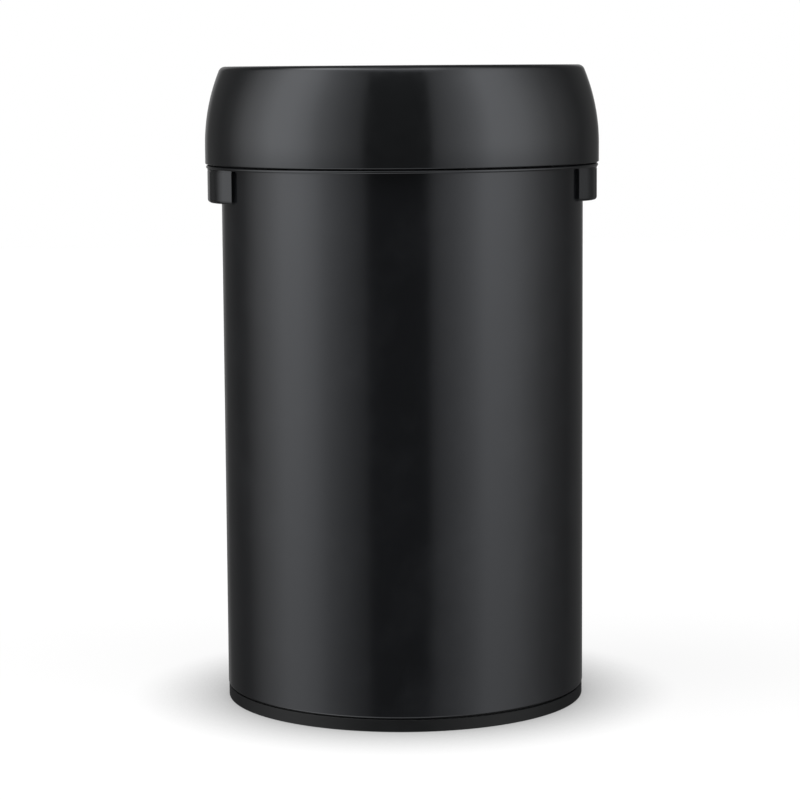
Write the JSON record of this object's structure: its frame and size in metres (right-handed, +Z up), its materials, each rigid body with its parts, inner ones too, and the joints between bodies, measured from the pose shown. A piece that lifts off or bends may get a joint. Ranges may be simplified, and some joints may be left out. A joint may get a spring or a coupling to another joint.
{
  "type": "open-top waste bin",
  "caption": "Round free-standing waste bin: painted steel body, side hand grips, lift-off open lid with a funnel, inner bucket with a carrying handle.",
  "frame": {"origin": "centre of the foot on the floor", "axes": "+Z up along the bin's axis, hand grips at -X and +X, front towards -Y"},
  "size_m": [0.3918, 0.3918, 0.6327],
  "materials": {
    "body_paint": "satin",
    "rim_plastic": "satin gloss",
    "lid_plastic": "satin gloss",
    "grip_plastic": "satin gloss",
    "foot_plastic": "matte",
    "funnel_plastic": "matte",
    "zinc_sheet": "zinc-coated, mill finish",
    "plated_steel": "zinc-plated",
    "sleeve_plastic": "matte"
  },
  "bodies": {
    "bin": {"body_shell": "body_paint", "bottom_plate": "body_paint", "foot_ring": "foot_plastic", "foot_screws": "plated_steel", "rim_ring": "rim_plastic", "grip_left": "grip_plastic", "grip_right": "grip_plastic", "grip_plate_left": "plated_steel", "grip_plate_right": "plated_steel", "grip_screws_left": "plated_steel", "grip_screws_right": "plated_steel"},
    "lid": {"lid_collar": "lid_plastic", "lid_funnel": "funnel_plastic", "funnel_screws": "plated_steel"},
    "bucket": {"bucket_shell": "zinc_sheet", "bucket_base": "zinc_sheet", "bail_ear_left": "plated_steel", "bail_ear_right": "plated_steel", "bail_rivets": "plated_steel"},
    "bail": {"bail_wire": "plated_steel", "bail_grip": "sleeve_plastic"}
  },
  "joints": [
    {"name": "lid_lift", "type": "slide", "parent": "bin", "child": "lid", "axis": [0, 0, 1], "range_m": [0, 0.75]},
    {"name": "bucket_lift", "type": "slide", "parent": "bin", "child": "bucket", "axis": [0, 0, 1], "range_m": [0, 0.525]},
    {"name": "bail_swing", "type": "hinge", "parent": "bucket", "child": "bail", "pos_m": [0, 0, 0.5418], "axis": [1, 0, 0], "range_deg": [0, 180]}
  ],
  "couplings": [
    {"joint": "bucket_lift", "follows": "lid_lift", "ratio": 0.7},
    {"joint": "bail_swing", "follows": "lid_lift", "rad_per_m": 2.0944}
  ]
}
